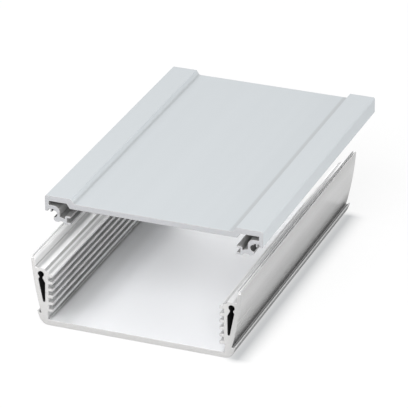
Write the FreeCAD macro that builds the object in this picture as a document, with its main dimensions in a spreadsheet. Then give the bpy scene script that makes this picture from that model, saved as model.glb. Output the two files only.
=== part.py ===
import FreeCAD, Part
import math
import operator
import os

import Sketcher

# Extruded aluminium enclosure of two lengths of extrusion: a ribbed tray and a flat lid.
# The origin is under the middle of the tray, +Z is up and +Y runs along the extrusion.
# Each section is drawn as its right half, padded along Y and mirrored about the YZ plane.

# Driving dimensions in millimetres, one cell of the sheet each
SIZES = {
    # Both extrusions
    "length": 150.0,
    "side_gap": 0.15,
    "seat_gap": 0.1,
    "tip_gap": 0.2,
    "lift": 12.7,
    "set_back": 20.3,
    # Tray: floor, walls and the ribs between which boards slide
    "tray_width": 81.6,
    "floor_thick": 2.6,
    "rib_reach": 2.4,
    "rib_thick": 1.35,
    "rib_pitch": 3.33,
    "rib_drop": 3.15,
    "rib_count": 6,
    "rib_round": 0.35,
    "slot_inset": 0.4,
    "floor_round": 0.6,
    # Tray: rounded bottom corner, lip and the notch above it
    "corner_inset": 0.2,
    "corner_round": 4.5,
    "lip_lean": 70.0,
    "lip_height": 6.15,
    "lip_top": 0.45,
    "lip_round": 0.15,
    "notch_reach": 2.95,
    "notch_height": 4.6,
    "notch_round": 0.35,
    "wall_foot": 3.8,
    "wall_foot_height": 7.7,
    "wall_bow": 150.0,
    # Tray: shoulder that carries the lid, and the tongue outside it
    "wall_depth": 7.5,
    "seat_height": 27.0,
    "tongue_root_rise": 4.6,
    "tongue_thick": 1.9,
    "tongue_rise": 5.6,
    "tongue_round": 0.2,
    "root_chamfer": 0.6,
    "groove_shift": 0.1,
    "groove_width": 0.8,
    "groove_depth": 1.4,
    "shoulder_inset": 0.9,
    "shoulder_step": 0.75,
    "ledge_inset": 0.8,
    "ledge_drop": 0.6,
    # Tray: keyhole channel for the end screws
    "port_inset": 3.03,
    "port_drop": 2.8,
    "port_radius": 1.4,
    "neck_width": 1.55,
    "neck_drop": 1.8,
    "chamber_outer": 1.25,
    "chamber_outer_drop": 2.5,
    "chamber_inner": 1.9,
    "chamber_inner_drop": 4.0,
    "chamber_foot": 1.25,
    "chamber_foot_drop": 13.0,
    "chamber_foot_width": 1.0,
    "chamber_foot_radius": 0.6,
    # Lid: skin, side strips and flanges
    "skin_thick": 2.5,
    "panel_drop": 2.2,
    "strip_width": 12.15,
    "strip_slope": 1.5,
    "cavity_height": 1.9,
    "cavity_width": 8.35,
    "flange_thick": 1.8,
    "flange_overlap": 1.2,
    "flange_lead": 0.65,
    "top_round": 0.9,
    # Lid: arm with the fin and the hook that seats on the shoulder
    "arm_thick": 1.8,
    "fin_thick": 0.6,
    "hook_radius": 1.6,
    "hook_wall": 1.15,
    "hook_mouth": 0.1,
    "hook_lift": 3.65,
    "hook_bend": 1.2,
    "foot_round": 1.3,
    "foot_width": 2.0,
    # Lid: bracket that holds the edge of an upper board
    "bracket_gap": 2.2,
    "bracket_wall": 0.95,
    "bracket_reach": 1.75,
    "bracket_floor": 0.9,
    "bracket_clear": 0.1,
    "bracket_round": 0.85,
    "bracket_drop": 0.4,
    "web_rise": 1.0,
    "web_thick": 2.1,
    "web_fall": 0.7,
    "edge_round": 0.2,
    "strip_round": 0.4,
}

OPERATIONS = {"+": operator.add, "-": operator.sub, "*": operator.mul, "/": operator.truediv}


class Size:
    """A size known both as a number and as a formula over the cells of the sheet."""

    def __init__(self, number, formula):
        self.number = number
        self.formula = formula

    def __add__(self, other):
        return combine(self, "+", other)

    def __sub__(self, other):
        return combine(self, "-", other)

    def __mul__(self, other):
        return combine(self, "*", other)

    def __truediv__(self, other):
        return combine(self, "/", other)


def as_size(value):
    return value if isinstance(value, Size) else Size(float(value), str(value))


def combine(left, sign, right):
    left, right = as_size(left), as_size(right)
    number = OPERATIONS[sign](left.number, right.number)
    return Size(number, f"({left.formula} {sign} {right.formula})")


def root(size):
    return Size(math.sqrt(size.number), f"sqrt({size.formula})")


def sine(size):
    return Size(math.sin(math.radians(size.number)), f"sin({size.formula} * 1 deg)")


def cosine(size):
    return Size(math.cos(math.radians(size.number)), f"cos({size.formula} * 1 deg)")


def make_sheet(doc):
    sheet = doc.addObject("Spreadsheet::Sheet", "Sizes")
    for row, (alias, value) in enumerate(SIZES.items(), 1):
        sheet.set(f"A{row}", alias.replace("_", " "))
        sheet.set(f"B{row}", str(value))
        sheet.setAlias(f"B{row}", alias)
    doc.recompute()
    return sheet


class Cells:
    """Gives each cell of the sheet as a Size, such as cells.length."""

    def __init__(self, sheet):
        self.sheet = sheet

    def __getattr__(self, alias):
        return Size(float(self.sheet.get(alias)), f"Sizes.{alias}")


class Bend:
    """The arc that ends at a corner: its radius, and the side of the way along to which it bulges."""

    def __init__(self, radius, side, major=False):
        self.radius = radius
        self.side = side
        self.major = major

    def middle(self, start, end):
        chord = end - start
        normal = FreeCAD.Vector(-chord.y, chord.x, 0).normalize() * (1 if self.side == "left" else -1)
        radius = self.radius.number
        rise = math.sqrt(max(radius ** 2 - (chord.Length / 2) ** 2, 0))
        return (start + end) / 2 + normal * (radius + rise if self.major else radius - rise)


def tie(sketch, constraint, label, size):
    index = sketch.addConstraint(constraint)
    sketch.renameConstraint(index, label)
    sketch.setExpression(f"Constraints.{label}", size.formula)


def tie_point(sketch, geometry, point, label, place):
    """Ties one point of the sketch to its distances from the two axes."""
    for kind, axis, size in (("X", -2, place[0]), ("Y", -1, place[1])):
        if size.number == 0:
            sketch.addConstraint(Sketcher.Constraint("PointOnObject", geometry, point, axis))
        else:
            distance = Sketcher.Constraint("Distance" + kind, -1, 1, geometry, point, size.number)
            tie(sketch, distance, f"{kind.lower()}_{label}", size)


def section_sketch(body, name):
    sketch = body.newObject("Sketcher::SketchObject", name)
    plane = next(item for item in body.Origin.OriginFeatures if item.Role == "XZ_Plane")
    sketch.AttachmentSupport = [(plane, "")]
    sketch.MapMode = "FlatFace"
    return sketch


def outline(body, name, corners):
    """A closed outline in the section plane. A corner is (x, z), or (x, z, Bend) where an arc ends."""
    sketch = section_sketch(body, name)
    places = [(as_size(corner[0]), as_size(corner[1])) for corner in corners]
    points = [FreeCAD.Vector(x.number, z.number, 0) for x, z in places]
    ends = []
    for index in range(len(corners)):
        after = (index + 1) % len(corners)
        start, end = points[index], points[after]
        if len(corners[after]) == 3:
            bend = corners[after][2]
            geometry = sketch.addGeometry(Part.Arc(start, bend.middle(start, end), end), False)
            forward = (sketch.getPoint(geometry, 1) - start).Length < 1e-6
            ends.append((geometry, 1, 2) if forward else (geometry, 2, 1))
            arc = Sketcher.Constraint("Radius", geometry, bend.radius.number)
            tie(sketch, arc, f"radius_{after}", bend.radius)
        else:
            geometry = sketch.addGeometry(Part.LineSegment(start, end), False)
            ends.append((geometry, 1, 2))
    for index, (geometry, first, last) in enumerate(ends):
        before, unused, tail = ends[index - 1]
        sketch.addConstraint(Sketcher.Constraint("Coincident", before, tail, geometry, first))
        tie_point(sketch, geometry, first, str(index), places[index])
    return sketch


def extrude(body, kind, name, sketch, cells):
    """Pads or pockets a section over the whole length, to both sides of the middle."""
    feature = body.newObject(f"PartDesign::{kind}", name)
    feature.Profile = sketch
    feature.SideType = "Symmetric"
    feature.setExpression("Length", cells.length.formula)
    sketch.Visibility = False
    body.Document.recompute()
    return feature


def round_edges(body, name, spots, radius):
    """Rounds the lengthwise edges that pass through the given places of the section."""
    base = body.Tip
    names = []
    for number, edge in enumerate(base.Shape.Edges, 1):
        box = edge.BoundBox
        if box.YLength < 1 or box.XLength > 1e-4 or box.ZLength > 1e-4:
            continue
        for x, z in spots:
            if abs(box.Center.x - as_size(x).number) < 1e-3 and abs(box.Center.z - as_size(z).number) < 1e-3:
                names.append(f"Edge{number}")
    fillet = body.newObject("PartDesign::Fillet", name)
    fillet.Base = (base, names)
    fillet.setExpression("Radius", radius.formula)
    body.Document.recompute()
    if len(names) != len(spots):
        raise RuntimeError(f"{name}: {len(names)} edges found for {len(spots)} places")
    return fillet


def mirror_half(body, name):
    mirror = body.newObject("PartDesign::Mirrored", name)
    plane = next(item for item in body.Origin.OriginFeatures if item.Role == "YZ_Plane")
    mirror.TransformMode = "Whole shape"
    mirror.MirrorPlane = (plane, [""])
    body.Tip = mirror
    body.Document.recompute()
    return mirror


def groove_middle(cells):
    """The middle of the groove in the tongue, which the fin of the lid enters."""
    return cells.tray_width / 2 + cells.wall_depth - cells.tongue_thick / 2 + cells.groove_shift


def make_base(doc, cells):
    """The tray: floor, two ribbed walls, lips, shoulders and the grooved tongues."""
    body = doc.addObject("PartDesign::Body", "base_profile")
    wall = cells.tray_width / 2
    outer = wall + cells.wall_depth
    tongue_top = cells.seat_height + cells.tongue_rise
    tongue_inner = outer - cells.tongue_thick
    groove_in = groove_middle(cells) - cells.groove_width / 2
    groove_out = groove_middle(cells) + cells.groove_width / 2
    groove_floor = tongue_top - cells.groove_depth

    # Rounded bottom corner, then the lip leaning outward up to its flat top
    flat_end = wall - cells.corner_inset
    corner_x = flat_end + cells.corner_round * sine(cells.lip_lean)
    corner_z = cells.corner_round - cells.corner_round * cosine(cells.lip_lean)
    lean_run = (cells.lip_height - corner_z) * cosine(cells.lip_lean) / sine(cells.lip_lean)
    lip_x = corner_x + lean_run

    # Stepped inner side of the shoulder, down to the top rib
    shoulder_x = wall + cells.shoulder_inset
    step_z = cells.seat_height - cells.shoulder_step
    ledge_x = wall - cells.ledge_inset
    ledge_z = step_z - cells.ledge_drop
    slot_x = wall - cells.slot_inset
    last_rib = cells.seat_height - cells.rib_drop
    first_rib = last_rib - cells.rib_pitch * (cells.rib_count - 1)

    half = outline(body, "base_section", [
        (0, 0),
        (flat_end, 0),
        (corner_x, corner_z, Bend(cells.corner_round, "right")),
        (lip_x, cells.lip_height),
        (lip_x - cells.lip_top, cells.lip_height),
        (wall + cells.notch_reach, cells.notch_height),
        (wall + cells.wall_foot, cells.wall_foot_height),
        (outer, cells.seat_height + cells.tongue_root_rise, Bend(cells.wall_bow, "right")),
        (outer, tongue_top),
        (groove_out, tongue_top),
        (groove_out, groove_floor),
        (groove_in, groove_floor),
        (groove_in, tongue_top),
        (tongue_inner, tongue_top),
        (tongue_inner, cells.seat_height + cells.root_chamfer),
        (tongue_inner - cells.root_chamfer, cells.seat_height),
        (shoulder_x, cells.seat_height),
        (shoulder_x, step_z),
        (ledge_x, ledge_z),
        (ledge_x, last_rib),
        (slot_x, last_rib),
        (slot_x, first_rib),
        (wall, first_rib),
        (wall, cells.floor_thick),
        (0, cells.floor_thick),
    ])
    extrude(body, "Pad", "base_half", half, cells)
    round_edges(body, "notch_bottom", [(wall + cells.notch_reach, cells.notch_height)], cells.notch_round)
    round_edges(body, "floor_corner", [(wall, cells.floor_thick)], cells.floor_round)
    round_edges(body, "lip_edges", [
        (lip_x, cells.lip_height),
        (lip_x - cells.lip_top, cells.lip_height),
    ], cells.lip_round)
    round_edges(body, "tongue_edges", [
        (outer, tongue_top),
        (tongue_inner, tongue_top),
        (shoulder_x, cells.seat_height),
    ], cells.tongue_round)

    # One rib, repeated up the wall
    tip = wall - cells.rib_reach
    low = first_rib - cells.rib_thick / 2
    high = first_rib + cells.rib_thick / 2
    tip_bend = Bend(cells.rib_round, "right")
    rib = outline(body, "rib_section", [
        (wall + cells.shoulder_inset / 2, low),
        (wall + cells.shoulder_inset / 2, high),
        (tip + cells.rib_round, high),
        (tip, high - cells.rib_round, tip_bend),
        (tip, low + cells.rib_round),
        (tip + cells.rib_round, low, tip_bend),
    ])
    rib_pad = extrude(body, "Pad", "rib", rib, cells)
    ribs = body.newObject("PartDesign::LinearPattern", "ribs")
    ribs.Originals = [rib_pad]
    ribs.Direction = (rib, ["V_Axis"])
    ribs.Mode = "Spacing"
    ribs.setExpression("Offset", cells.rib_pitch.formula)
    ribs.setExpression("Occurrences", cells.rib_count.formula)
    body.Tip = ribs
    doc.recompute()

    # Keyhole channel: screw port above, neck, and the tapered chamber under it
    port_x = wall + cells.port_inset
    port_z = cells.seat_height - cells.port_drop
    neck_half = cells.neck_width / 2
    neck_top = port_z - root(cells.port_radius * cells.port_radius - neck_half * neck_half)
    neck_foot = port_z - cells.neck_drop
    foot_x = port_x - cells.chamber_foot
    foot_z = port_z - cells.chamber_foot_drop
    foot_half = cells.chamber_foot_width / 2
    keyhole = outline(body, "keyhole_section", [
        (port_x + neck_half, neck_top),
        (port_x - neck_half, neck_top, Bend(cells.port_radius, "right", major=True)),
        (port_x - neck_half, neck_foot),
        (port_x - cells.chamber_inner, port_z - cells.chamber_inner_drop),
        (foot_x - foot_half, foot_z),
        (foot_x + foot_half, foot_z, Bend(cells.chamber_foot_radius, "right")),
        (port_x + cells.chamber_outer, port_z - cells.chamber_outer_drop),
        (port_x + neck_half, neck_foot),
    ])
    extrude(body, "Pocket", "keyhole", keyhole, cells)
    mirror_half(body, "base_both_halves")
    return body


def make_lid(doc, cells):
    """The lid in its closed place: skin with raised side strips, flanges, hooks and brackets."""
    body = doc.addObject("PartDesign::Body", "lid_profile")
    wall = cells.tray_width / 2
    outer = wall + cells.wall_depth
    tongue_top = cells.seat_height + cells.tongue_rise
    fin_in = groove_middle(cells) - cells.fin_thick / 2
    fin_out = groove_middle(cells) + cells.fin_thick / 2
    fin_tip = tongue_top - cells.groove_depth + cells.tip_gap

    # Skin, strips and flanges, counted up from the slot that takes the tongue
    slot_top = tongue_top + cells.tip_gap
    arm_top = slot_top + cells.arm_thick
    strip_under = arm_top + cells.cavity_height
    strip_top = strip_under + cells.skin_thick
    panel_top = strip_top - cells.panel_drop
    panel_under = panel_top - cells.skin_thick
    flange_in = outer + cells.side_gap
    flange_out = flange_in + cells.flange_thick
    flange_foot = slot_top - cells.flange_overlap
    strip_in = flange_out - cells.strip_width
    cavity_in = flange_in - cells.cavity_width

    # Hook round the inner side of the tongue, seated on the shoulder
    foot_out = outer - cells.tongue_thick - cells.side_gap
    foot_under = cells.seat_height + cells.seat_gap
    hook_x = foot_out - cells.hook_mouth
    hook_rise = root(cells.hook_radius * cells.hook_radius - cells.hook_mouth * cells.hook_mouth)
    hook_in = hook_x - cells.hook_radius - cells.hook_wall
    hook_z = cells.seat_height + cells.hook_lift
    bend_z = hook_z + cells.hook_bend
    foot_in = foot_out - cells.foot_width

    # Bracket for an upper board, open towards the middle
    bracket_tip = wall - cells.rib_reach - cells.bracket_clear
    bracket_in = bracket_tip + cells.bracket_reach
    bracket_out = bracket_in + cells.bracket_wall
    bracket_low = cells.seat_height - cells.bracket_drop
    slot_low = bracket_low + cells.bracket_floor
    slot_high = slot_low + cells.bracket_gap
    bracket_high = slot_high + cells.bracket_floor
    web_under = bracket_low + cells.web_rise
    web_top = web_under + cells.web_thick

    half = outline(body, "lid_section", [
        (0, panel_top),
        (strip_in - cells.strip_slope, panel_top),
        (strip_in, strip_top),
        (flange_out, strip_top),
        (flange_out, flange_foot),
        (flange_in + cells.flange_lead, flange_foot),
        (flange_in, slot_top),
        (fin_out, slot_top),
        (fin_out, fin_tip),
        (fin_in, fin_tip),
        (fin_in, slot_top),
        (hook_x + cells.hook_mouth, slot_top),
        (hook_x + cells.hook_mouth, hook_z + hook_rise),
        (foot_out, hook_z - hook_rise, Bend(cells.hook_radius, "right", major=True)),
        (foot_out, foot_under + cells.foot_round),
        (foot_out - cells.foot_round, foot_under, Bend(cells.foot_round, "left")),
        (foot_in, foot_under),
        (foot_in - cells.foot_round, web_under),
        (bracket_out + cells.bracket_floor, web_under),
        (bracket_out, bracket_low),
        (bracket_tip, bracket_low),
        (bracket_tip, slot_low),
        (bracket_in, slot_low),
        (bracket_in, slot_high),
        (bracket_tip, slot_high),
        (bracket_tip, bracket_high),
        (bracket_out - cells.bracket_round, bracket_high),
        (bracket_out, bracket_high - cells.bracket_round, Bend(cells.bracket_round, "left")),
        (bracket_out, web_top - cells.web_fall),
        (hook_in, web_top),
        (hook_in, bend_z),
        (hook_x, arm_top, Bend(cells.hook_radius + cells.hook_wall, "left")),
        (flange_in, arm_top),
        (flange_in, strip_under),
        (cavity_in, strip_under),
        (cavity_in - cells.strip_slope, panel_under),
        (0, panel_under),
    ])
    extrude(body, "Pad", "lid_half", half, cells)
    round_edges(body, "top_corner", [(flange_out, strip_top)], cells.top_round)
    round_edges(body, "strip_edge", [(strip_in, strip_top)], cells.strip_round)
    round_edges(body, "flange_and_bracket_edges", [
        (flange_out, flange_foot),
        (bracket_tip, bracket_low),
        (bracket_tip, slot_low),
        (bracket_tip, slot_high),
        (bracket_tip, bracket_high),
        (bracket_out, bracket_low),
        (foot_in, foot_under),
    ], cells.edge_round)
    mirror_half(body, "lid_both_halves")
    body.setExpression(".Placement.Base.y", cells.set_back.formula)
    body.setExpression(".Placement.Base.z", cells.lift.formula)
    doc.recompute()
    return body


def check(doc, nodes):
    for item in doc.Objects:
        if "Invalid" in item.State or "Error" in item.State:
            raise RuntimeError(f"{item.Name} failed: {item.State}")
    for node in nodes:
        if node.Shape.isNull() or not node.Shape.isValid() or len(node.Shape.Solids) != 1:
            raise RuntimeError(f"{node.Label} is not one valid solid")


def main():
    doc = FreeCAD.newDocument("enclosure")
    cells = Cells(make_sheet(doc))
    nodes = [make_base(doc, cells), make_lid(doc, cells)]
    for node in nodes:
        node.Label = node.Name
    doc.recompute()
    check(doc, nodes)
    os.makedirs("parts", exist_ok=True)
    for node in nodes:
        node.Shape.exportStep(f"parts/{node.Label}.step")
        print(node.Label, "volume", round(node.Shape.Volume, 1), node.Shape.BoundBox)


main()
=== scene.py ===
import math

import bpy
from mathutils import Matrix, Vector


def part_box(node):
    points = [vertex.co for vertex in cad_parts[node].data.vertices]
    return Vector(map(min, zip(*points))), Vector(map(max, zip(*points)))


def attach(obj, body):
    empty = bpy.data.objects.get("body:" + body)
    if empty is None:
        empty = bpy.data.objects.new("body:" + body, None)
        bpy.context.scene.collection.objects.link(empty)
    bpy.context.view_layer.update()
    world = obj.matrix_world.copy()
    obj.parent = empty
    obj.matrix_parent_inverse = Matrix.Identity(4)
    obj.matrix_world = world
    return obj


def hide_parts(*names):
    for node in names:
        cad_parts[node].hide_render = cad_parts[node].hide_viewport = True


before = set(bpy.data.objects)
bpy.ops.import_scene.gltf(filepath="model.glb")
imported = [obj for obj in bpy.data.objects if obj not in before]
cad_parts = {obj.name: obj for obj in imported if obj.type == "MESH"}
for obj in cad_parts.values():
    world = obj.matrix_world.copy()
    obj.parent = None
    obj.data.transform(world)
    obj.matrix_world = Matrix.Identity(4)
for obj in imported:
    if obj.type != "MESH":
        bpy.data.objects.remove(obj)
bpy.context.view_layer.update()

print("frame loaded")


# A socket of a shader, which takes part in sums with other sockets and with numbers
class Socket:
    def __init__(self, shader, link):
        self.shader = shader
        self.link = link

    def maths(self, operation, *values):
        return self.shader.add("ShaderNodeMath", {"operation": operation}, dict(enumerate(values)))

    def __add__(self, other):
        return self.maths("ADD", self, other)

    def __sub__(self, other):
        return self.maths("SUBTRACT", self, other)

    def __rsub__(self, other):
        return self.maths("SUBTRACT", other, self)

    def __mul__(self, other):
        return self.maths("MULTIPLY", self, other)

    def __gt__(self, other):
        return self.maths("GREATER_THAN", self, other)

    def size(self):
        return self.maths("ABSOLUTE", self)

    def sine(self):
        return self.maths("SINE", self)

    def atLeast(self, other):
        return self.maths("MAXIMUM", self, other)

    __radd__ = __add__
    __rmul__ = __mul__


# The nodes of one material or of the world
class Shader:
    def __init__(self, owner):
        owner.use_nodes = True
        self.owner = owner
        self.tree = owner.node_tree
        self.tree.nodes.clear()

    # One node, from its type, its settings, and the values or links of its sockets
    def add(self, kind, settings=None, values=None, output=0):
        made = self.tree.nodes.new(kind)
        for name, value in (settings or {}).items():
            setattr(made, name, value)
        for name, value in (values or {}).items():
            if isinstance(value, Socket):
                self.tree.links.new(value.link, made.inputs[name])
            else:
                made.inputs[name].default_value = value
        return Socket(self, made.outputs[output]) if len(made.outputs) else None

    # A colour Mix node takes its factor and its two colours at inputs 0, 6 and 7
    def blend(self, factor, first, second):
        mixed = {0: factor, 6: first, 7: second}
        return self.add("ShaderNodeMix", {"data_type": "RGBA"}, mixed, output=2)

    # 0 at the start and 1 at the end, which may be the lower of the two
    def ramp(self, measured, start, end, kind="SMOOTHSTEP"):
        return self.add("ShaderNodeMapRange", {"interpolation_type": kind}, {0: measured, 1: start, 2: end})

    # The scale is in marks per millimetre along x, y and z
    def noise(self, place, scale, detail):
        perMetre = [1000 * part for part in scale]
        moved = self.add("ShaderNodeVectorMath", {"operation": "MULTIPLY"}, {0: place, 1: perMetre})
        return self.add("ShaderNodeTexNoise", {}, {"Vector": moved, "Scale": 1.0, "Detail": detail})

    def place(self):
        return self.add("ShaderNodeTexCoord", output="Object")

    def split(self, place):
        parts = self.add("ShaderNodeSeparateXYZ", {}, {0: place}).link.node.outputs
        return [Socket(self, part) for part in parts]

    def rays(self, *kinds):
        paths = self.add("ShaderNodeLightPath").link.node.outputs
        return [Socket(self, paths[f"Is {kind} Ray"]) for kind in kinds]

    def metal(self, look, colour, roughness, height, relief):
        bump = self.add("ShaderNodeBump", {}, {
            "Strength": look["bump"], "Distance": relief, "Height": height})
        surface = self.add("ShaderNodeBsdfPrincipled", {}, {
            "Base Color": colour, "Metallic": look["metallic"], "Roughness": roughness, "Normal": bump,
            "Specular IOR Level": look.get("specular", 0.5)})
        self.add("ShaderNodeOutputMaterial", {}, {"Surface": surface})
        return self.owner


def tint(red, green, blue):
    return (red, green, blue, 1)


def grey(level, warmth=0.0):
    return tint(level * (1 + warmth), level, level * (1 - warmth))


# Painted shade and painted highlight: a broad change of colour, darker for shade and lighter for a
# highlight, which may fade out along Y between fullAt and bareAt
def shade(axis, start, end, colour, fullAt=None, bareAt=None):
    return {"axis": axis, "start": start, "end": end, "colour": colour, "fullAt": fullAt, "bareAt": bareAt}


# A thin line of painted shade, all along Y
def paintedShadeLine(axis, middle, width, colour):
    return {"axis": axis, "middle": middle, "width": width, "colour": colour}


# A painted shade line has its full colour within this share of its width
paintedShadeLineCore = 0.3  # share of a crease's width within which it has its full colour


# Lays a look's painted shade, painted highlights and painted shade lines over the metal's colour
def shadeMetal(shader, colour, look, place):
    x, y, z = shader.split(place)
    measures = {"across": x.size(), "rightward": x, "up": z}
    for broad in look.get("shades", []):
        share = shader.ramp(measures[broad["axis"]], broad["start"], broad["end"])
        if broad["bareAt"]:
            share = share * shader.ramp(y.size(), broad["bareAt"], broad["fullAt"], "LINEAR")
        colour = shader.blend(share, colour, broad["colour"])
    for thin in look.get("paintedShadeLines", []):
        away = (measures[thin["axis"]] - thin["middle"]).size()
        share = shader.ramp(away, thin["width"], paintedShadeLineCore * thin["width"])
        colour = shader.blend(share, colour, thin["colour"])
    return colour


# Marks per millimetre, which are few along Y because the die draws them out, and relief in metres
drawing = {"linesAlong": 0.0015, "bandsAlong": 0.0008, "clouds": (0.03, 0.012, 0.03),
           "lineShare": 0.35, "bandShare": 0.5, "cloudShare": 0.15, "relief": 0.00003}


# Drawn aluminium: fine lines and faint bands from the die, all along Y, with the look's painted shading
# laid over them
def drawnMetal(name, look):
    shader = Shader(bpy.data.materials.new(name))
    place = shader.place()
    fine = shader.noise(place, (look["lines"], drawing["linesAlong"], look["lines"]), 3.0)
    broad = shader.noise(place, (look["bands"], drawing["bandsAlong"], look["bands"]), 1.0)
    cloud = shader.noise(place, drawing["clouds"], 3.0)
    tone = drawing["lineShare"] * fine + drawing["bandShare"] * broad + drawing["cloudShare"] * cloud
    colour = shadeMetal(shader, shader.blend(tone, look["dark"], look["light"]), look, place)
    roughness = look["roughness"] + look["spread"] * (fine - 0.5) + look["spread"] * (cloud - 0.5)
    return shader.metal(look, colour, roughness, fine, drawing["relief"])


# The blade's middle lies below the table, so its arcs cross a cut end at a slant
sawing = {"bladeMiddle": (0.06, 0, -0.16), "grain": (2.5, 2.5, 2.5), "waveShare": 0.5, "relief": 0.00002}


# Sawn end: shallow arcs left by the blade, with a faint grain between them, and the look's painted shading
# laid over them
def sawnMetal(name, look):
    shader = Shader(bpy.data.materials.new(name))
    place = shader.place()
    away = shader.add("ShaderNodeVectorMath", {"operation": "DISTANCE"},
                      {0: place, 1: sawing["bladeMiddle"]}, output=1)
    # The pitch of the arcs is in millimetres and the distance in metres
    wave = (away * (2000 * math.pi / look["pitch"])).sine()
    grain = shader.noise(place, sawing["grain"], 3.0)
    colour = shadeMetal(shader, shader.blend(grain, look["dark"], look["light"]), look, place)
    roughness = look["roughness"] + look["spread"] * (grain - 0.5)
    return shader.metal(look, colour, roughness, sawing["waveShare"] * wave + grain, sawing["relief"])


def makeFinish(name, look):
    return sawnMetal(name, look) if "pitch" in look else drawnMetal(name, look)


# What most finishes share: lines and bands in marks per millimetre, pitch in millimetres
plainDrawn = {"spread": 0.10, "lines": 6.0, "bands": 0.5, "bump": 0.08}
plainSawn = {"spread": 0.10, "pitch": 0.9, "bump": 0.25}
hollowDrawn = {**plainDrawn, "metallic": 0.3, "roughness": 0.7, "bump": 0.12}

# For both pieces: touching in metres, facings as the part of a normal along Y, the angle in degrees
making = {"touching": 1e-6, "endFacing": 0.99, "bevelFacing": (0.2, 0.95), "sideFacing": 0.5,
          "smoothAngle": 30}


def clearSelection(piece):
    bpy.ops.object.select_all(action="DESELECT")
    bpy.context.view_layer.objects.active = piece
    piece.select_set(True)
    bpy.ops.object.mode_set(mode="EDIT")
    bpy.ops.mesh.select_mode(type="FACE")
    bpy.ops.mesh.select_all(action="DESELECT")
    bpy.ops.object.mode_set(mode="OBJECT")


# The wanted faces get a finish, and stay selected in edit mode
def giveFinish(piece, finish, wanted):
    clearSelection(piece)
    for polygon in piece.data.polygons:
        polygon.select = wanted(polygon)
    bpy.ops.object.mode_set(mode="EDIT")
    piece.active_material_index = piece.data.materials.find(finish)
    bpy.ops.object.material_slot_assign()


# The sawn face at one end gets its finish, and its outline is pulled in along Y to break the edge
def breakEnd(piece, end, inward, look):
    giveFinish(piece, look["endFinish"], lambda polygon: (
        abs(polygon.center.y - end) < making["touching"] and abs(polygon.normal.y) > making["endFacing"]))
    bpy.ops.mesh.inset(thickness=look["edge"], depth=0, use_even_offset=True)
    bpy.ops.object.mode_set(mode="OBJECT")
    inner = {corner for polygon in piece.data.polygons if polygon.select for corner in polygon.vertices}
    clearSelection(piece)
    bpy.ops.object.mode_set(mode="EDIT")
    bpy.ops.mesh.select_mode(type="VERT")
    bpy.ops.object.mode_set(mode="OBJECT")
    for vertex in piece.data.vertices:
        vertex.select = abs(vertex.co.y - end) < making["touching"] and vertex.index not in inner
    bpy.ops.object.mode_set(mode="EDIT")
    bpy.ops.transform.translate(value=(0, inward * look["edge"], 0))
    bpy.ops.object.mode_set(mode="OBJECT")
    least, most = making["bevelFacing"]
    giveFinish(piece, look["edgeFinish"], lambda polygon: (
        abs(polygon.center.y - end) < look["edge"] and least < abs(polygon.normal.y) < most))
    bpy.ops.object.mode_set(mode="OBJECT")


# Whether a face lies in a zone, which takes sides only, unless it sets its own limit for endward
def inZone(polygon, zone):
    centre = polygon.center
    middle = zone.get("middle", (0, 0))
    measures = {
        "across": abs(centre.x),
        "up": centre.z,
        "leant": abs(centre.x) - zone.get("lean", 0) * centre.z,
        "away": math.hypot(abs(centre.x) - middle[0], centre.z - middle[1]),
        "outward": polygon.normal.x if centre.x > 0 else -polygon.normal.x,
        "upward": polygon.normal.z,
        "endward": abs(polygon.normal.y),
    }
    above = zone.get("above", {})
    below = {"endward": making["sideFacing"], **zone.get("below", {})}
    return (all(measures[name] > limit for name, limit in above.items())
            and all(measures[name] < limit for name, limit in below.items()))


# A copy of a solid, with one skin of shared corners and lightly broken edges round its sawn ends
def dressProfile(node, name, body, look):
    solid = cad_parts[node]
    piece = solid.copy()
    piece.data = solid.data.copy()
    piece.name = name
    piece.data.name = name
    piece.parent = None
    for key in [key for key in piece.keys() if key.startswith("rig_")]:
        del piece[key]
    bpy.context.scene.collection.objects.link(piece)
    piece.data.materials.clear()
    for finish, metal in look["finishes"].items():
        piece.data.materials.append(makeFinish(finish, metal))
    for polygon in piece.data.polygons:
        polygon.material_index = 0
    clearSelection(piece)
    bpy.ops.object.mode_set(mode="EDIT")
    bpy.ops.mesh.select_all(action="SELECT")
    bpy.ops.mesh.remove_doubles(threshold=making["touching"])
    bpy.ops.object.mode_set(mode="OBJECT")
    low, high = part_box(node)
    breakEnd(piece, low.y, 1, look)
    breakEnd(piece, high.y, -1, look)
    bpy.ops.object.select_all(action="DESELECT")
    piece.select_set(True)
    bpy.context.view_layer.objects.active = piece
    bpy.ops.object.shade_smooth_by_angle(angle=math.radians(making["smoothAngle"]))
    bpy.ops.object.modifier_add(type="WEIGHTED_NORMAL")
    piece.modifiers[-1].keep_sharp = True
    bpy.ops.object.modifier_apply(modifier=piece.modifiers[-1].name)
    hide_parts(node)
    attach(piece, body)
    for zone in look["zones"]:
        giveFinish(piece, zone["finish"], lambda polygon: inZone(polygon, zone))
        bpy.ops.object.mode_set(mode="OBJECT")
    print(name, "dressed", len(piece.data.polygons), "faces")


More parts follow.
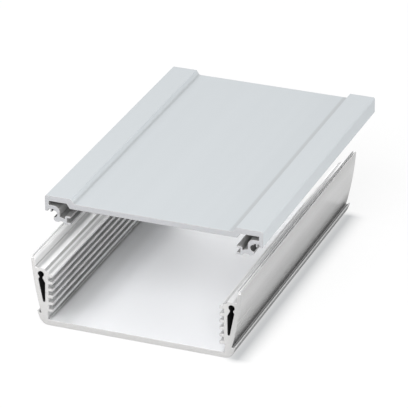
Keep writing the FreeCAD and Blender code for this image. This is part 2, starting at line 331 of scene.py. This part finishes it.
# Lengths in metres: across is from the middle, rightward along x and up from the table. The first
# finish covers the whole piece, and a later zone is laid over those before it.
trayLook = {
    "edge": 0.00015,
    "endFinish": "traySawn",
    "edgeFinish": "trayEdge",
    "finishes": {
        "trayDrawn": {
            "dark": grey(0.92), "light": grey(0.98), "metallic": 0.45, "roughness": 0.34, **plainDrawn,
            # Painted shade: darker from 43.6 mm out over the tongue, thin painted shade lines along the
            # shoulder's steps, and one on the right tongue only
            "shades": [shade("across", 0.0436, 0.0450, grey(0.66))],
            "paintedShadeLines": [paintedShadeLine("across", 0.0415, 0.0006, grey(0.50)),
                        paintedShadeLine("across", 0.0400, 0.0004, grey(0.66)),
                        paintedShadeLine("rightward", 0.0467, 0.0009, grey(0.40))]},
        # Partly the sawn metal's own colour and partly painted shade: darker than it is, to offset the
        # strong front lamp, and darker towards the right wall's cut end
        "traySawn": {
            "dark": grey(0.48, 0.008), "light": grey(0.58, 0.008), "metallic": 0.3, "roughness": 0.5,
            **plainSawn,
            "shades": [shade("rightward", 0.0400, 0.0480, grey(0.41))]},
        # The broken edges round the sawn ends, painted darker than the sawn face as a line of painted shade
        "trayEdge": {
            "dark": grey(0.38), "light": grey(0.48), "metallic": 0.4, "roughness": 0.5, **plainSawn},
        # Painted shade: the keyhole channel near-black, standing for the shade deep in it
        "channelPaintedShade": {"dark": grey(0.012), "light": grey(0.03), **hollowDrawn},
        "trayOuter": {
            "dark": grey(0.84), "light": grey(0.98), "metallic": 0.92, "roughness": 0.26,
            "spread": 0.04, "lines": 2.5, "bands": 0.35, "bump": 0.015,
            # Painted shade: the outer wall's top a little darker, and the wall darker towards the lip below
            # 15 mm, standing for the floor's shadow reflected there
            "shades": [shade("up", 0.0255, 0.0320, grey(0.76)),
                       shade("up", 0.0150, 0.0066, grey(0.37))]},
        # Painted shade: the lip is a darker copy of the tray's metal, with its ledge painted lighter above
        # 5.5 mm as a painted highlight
        "trayLip": {
            "dark": grey(0.25), "light": grey(0.31), "metallic": 0.1, "roughness": 0.6, "specular": 0.15,
            **plainDrawn,
            "shades": [shade("up", 0.0055, 0.0061, grey(0.60))]},
        # Painted shade: the ribs are a darker copy of the tray's metal, with the slots between the left
        # ribs and the wall below the lowest rib painted darker still, fading towards the sawn ends
        "trayRibs": {
            "dark": grey(0.64), "light": grey(0.76), "metallic": 0.75, "roughness": 0.32, **plainDrawn,
            "shades": [shade("rightward", -0.0386, -0.0404, grey(0.50), fullAt=0.050, bareAt=0.074),
                       shade("up", 0.0046, 0.0034, grey(0.28), fullAt=0.055, bareAt=0.095)]},
        "trayFloor": {
            "dark": tint(0.95, 0.96, 0.98), "light": tint(0.97, 0.98, 1.0), "metallic": 0.22,
            "roughness": 0.35, "spread": 0.03, "lines": 1.5, "bands": 0.15, "bump": 0.01,
            # Painted shade: the floor darker beside the left wall's ribs, and darker still where it meets
            # the walls, fading towards the sawn ends
            "shades": [shade("rightward", -0.0260, -0.0340, tint(0.78, 0.79, 0.80)),
                       shade("across", 0.0386, 0.0406, grey(0.36), fullAt=0.055, bareAt=0.095)]},
        # Partly painted: the tongue's inner side is a darker copy of the tray's metal as painted shade,
        # painted lighter above 30 mm as a highlight, with a thin painted shade line at 27.6 mm
        "trayTongue": {
            "dark": grey(0.68), "light": grey(0.76), "metallic": 0.30, "roughness": 0.34, **plainDrawn,
            "shades": [shade("up", 0.0300, 0.0316, grey(0.97))],
            "paintedShadeLines": [paintedShadeLine("up", 0.0276, 0.0004, grey(0.45))]},
    },
    "zones": [
        {"finish": "trayRibs", "above": {"across": 0.0380, "up": 0.0027},
         "below": {"across": 0.0410, "up": 0.0240}},
        {"finish": "trayOuter", "above": {"across": 0.0436, "outward": 0.3}},
        # The lip and the rounded corner under it, which are painted darker as shade, and not the wall of
        # the notch
        {"finish": "trayLip", "above": {"across": 0.0425, "up": 0.0040},
         "below": {"up": 0.0064, "outward": 0.3}},
        {"finish": "trayLip", "above": {"across": 0.0446, "outward": 0.3}, "below": {"up": 0.0064}},
        {"finish": "trayLip", "above": {"across": 0.0425, "outward": 0.3}, "below": {"up": 0.0046}},
        {"finish": "trayFloor", "above": {"upward": 0.9}, "below": {"across": 0.0410, "up": 0.0030}},
        # The tongue's inner side with its broken edges, and the groove in its top, painted lighter than its
        # shade
        {"finish": "trayTongue", "above": {"across": 0.0455, "up": 0.0270},
         "below": {"outward": -0.3, "endward": 1}},
        {"finish": "trayTongue", "above": {"across": 0.0468, "up": 0.0311},
         "below": {"across": 0.0480, "up": 0.0325}},
        # The keyhole channel, painted near-black as shade, whose outer side leans out with the wall
        {"finish": "channelPaintedShade", "lean": 0.12, "above": {"across": 0.0413, "up": 0.0105},
         "below": {"leant": 0.042404, "up": 0.0258}},
    ],
}
dressProfile("base_profile", "trayProfile", "base", trayLook)

lidLook = {
    "edge": 0.00015,
    "endFinish": "lidSawn",
    "edgeFinish": "lidEdge",
    "finishes": {
        "lidDrawn": {
            "dark": tint(0.52, 0.55, 0.57), "light": tint(0.56, 0.59, 0.61), "metallic": 0.12,
            "roughness": 0.62, "specular": 0.25, "spread": 0.06, "lines": 7.0, "bands": 0.15, "bump": 0.05,
            # Painted shade lines along the foot of the lid's raised strips, wider and darker on the right
            "paintedShadeLines": [paintedShadeLine("across", 0.0364, 0.0009, tint(0.50, 0.525, 0.54)),
                        paintedShadeLine("rightward", 0.0360, 0.0018, tint(0.46, 0.48, 0.495))]},
        # Partly the sawn metal's own colour and partly painted shade: darker than it is, to offset the
        # strong front lamp
        "lidSawn": {
            "dark": tint(0.365, 0.37, 0.385), "light": tint(0.435, 0.44, 0.455), "metallic": 0.3,
            "roughness": 0.55, **plainSawn},
        # The broken edges, painted darker than the sawn face as a line of painted shade
        "lidEdge": {
            "dark": grey(0.36), "light": grey(0.44), "metallic": 0.3, "roughness": 0.55, **plainSawn},
        # Painted light: the underside is near-white, far lighter than the lid, so that it brightens the
        # tray floor under it and shows bright in that floor
        "lidUnder": {
            "dark": grey(0.92), "light": grey(0.99), "metallic": 0.10, "roughness": 0.36, **plainDrawn},
        # Painted shade: the hook's bore near-black, standing for the shade deep in it
        "borePaintedShade": {"dark": grey(0.05), "light": grey(0.09), **hollowDrawn},
        # Painted shade: the arms under the lid are a darker copy of its metal, standing for the shade in
        # the cavity
        "lidArms": {
            "dark": grey(0.27), "light": grey(0.36), "metallic": 0.40, "roughness": 0.45, **plainDrawn},
    },
    "zones": [
        {"finish": "lidArms", "below": {"across": 0.0485, "up": 0.0493}},
        {"finish": "lidUnder", "below": {"across": 0.0340, "up": 0.0493}},
        # The bore of the hook, painted near-black as shade
        {"finish": "borePaintedShade", "middle": (0.04615, 0.04335), "below": {"away": 0.0018}},
    ],
}
dressProfile("lid_profile", "lidProfile", "lid", lidLook)

# The camera sees the studio floor white, with a painted shadow along the tray's right side, and the metal
# sees it grey, with a painted shadow that makes it darker near the tray. Lengths are in metres, with an
# edge's start and end in pairs.
studio = {
    "floorSize": 6,
    "floorDrop": 0.0002,
    "cameraGlow": 0.8,
    "paintedShadow": tint(0.60, 0.61, 0.62),
    "paintedShadowRight": (0.0463, 0.0563),
    "paintedShadowLeft": (0.036, 0.046),
    "paintedShadowEnds": (0.074, 0.080),
    "floorPaintedShadeNearTray": grey(0.46),
    "floorFar": grey(0.68),
    "paintedShadeSides": (0.050, 0.066),
    "paintedShadeEnds": 0.08,
    "worldLight": 0.64,
    "aim": (0, 0, 0.02),
    "lamps": [
        {"name": "highLamp", "place": (-0.30, -0.90, 0.78), "size": 1.1, "power": 9.8},
        {"name": "frontLamp", "place": (0.35, -1.08, 0.44), "size": 1.0, "power": 6.2},
        {"name": "backLamp", "place": (-0.35, 1.15, 0.42), "size": 0.9, "power": 3.2},
        {"name": "sideLamp", "place": (1.15, -0.25, 0.14), "size": 0.25, "power": 4.5},
    ],
}


def floorFinish():
    shader = Shader(bpy.data.materials.new("floorWhite"))
    cameraRay = shader.rays("Camera")[0]
    x, y = shader.split(shader.place())[:2]
    # Painted shadow for the metal: the floor it sees is darker near the tray
    far = shader.ramp(x.size(), *studio["paintedShadeSides"]).atLeast(y.size() > studio["paintedShadeEnds"])
    seenByMetal = shader.blend(far, studio["floorPaintedShadeNearTray"], studio["floorFar"])
    # Painted shadow: depth is its strength, full beside the tray's right side and fading out beyond it and
    # past its ends
    pastSide = shader.ramp(x, *studio["paintedShadowRight"], "LINEAR")
    pastEnd = shader.ramp(y.size(), *studio["paintedShadowEnds"], "LINEAR")
    depth = (1 - pastSide) * (1 - pastEnd) * shader.ramp(x, *studio["paintedShadowLeft"])
    seenByCamera = shader.blend(depth * depth, grey(1.0), studio["paintedShadow"])
    colour = shader.blend(cameraRay, seenByMetal, seenByCamera)
    matte = shader.add("ShaderNodeBsdfDiffuse", {}, {"Color": colour})
    white = shader.add("ShaderNodeEmission", {}, {"Color": seenByCamera, "Strength": 1.0})
    glow = cameraRay * studio["cameraGlow"]
    surface = shader.add("ShaderNodeMixShader", {}, {0: glow, 1: matte, 2: white})
    shader.add("ShaderNodeOutputMaterial", {}, {"Surface": surface})
    return shader.owner


bpy.ops.mesh.primitive_plane_add(size=studio["floorSize"], location=(0, 0, -studio["floorDrop"]))
studioFloor = bpy.context.object
studioFloor.name = "studioFloor"
studioFloor.data.materials.append(floorFinish())

# White to the camera and in reflections, and dimmer as a light
studioWorld = bpy.data.worlds.new("studioWorld")
bpy.context.scene.world = studioWorld
sky = Shader(studioWorld)
cameraRay, glossyRay, transmissionRay = sky.rays("Camera", "Glossy", "Transmission")
seen = cameraRay.atLeast(glossyRay).atLeast(transmissionRay)
strength = studio["worldLight"] + seen * (1 - studio["worldLight"])
background = sky.add("ShaderNodeBackground", {}, {"Color": grey(1.0), "Strength": strength})
sky.add("ShaderNodeOutputWorld", {}, {"Surface": background})

for lamp in studio["lamps"]:
    bpy.ops.object.light_add(type="AREA", location=lamp["place"])
    made = bpy.context.object
    made.name = lamp["name"]
    made.data.size = lamp["size"]
    made.data.energy = lamp["power"]
    towards = Vector(studio["aim"]) - Vector(lamp["place"])
    made.rotation_euler = towards.to_track_quat("-Z", "Y").to_euler()
print("studio ready")

# The photograph's viewing angle: place and nearest in metres, turn and lift in degrees, and the
# lens and its frame in millimetres
view = {"place": (0.46305, -1.19062, 0.65230), "turn": 21.15, "lift": 25.92, "lens": 282.12,
        "frame": 36, "nearest": 0.05}
bpy.ops.object.camera_add(location=view["place"])
camera = bpy.context.object
camera.name = "photoCamera"
camera.rotation_euler = (math.radians(90 - view["lift"]), 0, math.radians(view["turn"]))
camera.data.lens = view["lens"]
camera.data.sensor_width = view["frame"]
camera.data.clip_start = view["nearest"]
bpy.context.scene.camera = camera
bpy.context.scene.view_settings.view_transform = "Standard"
print("camera ready")
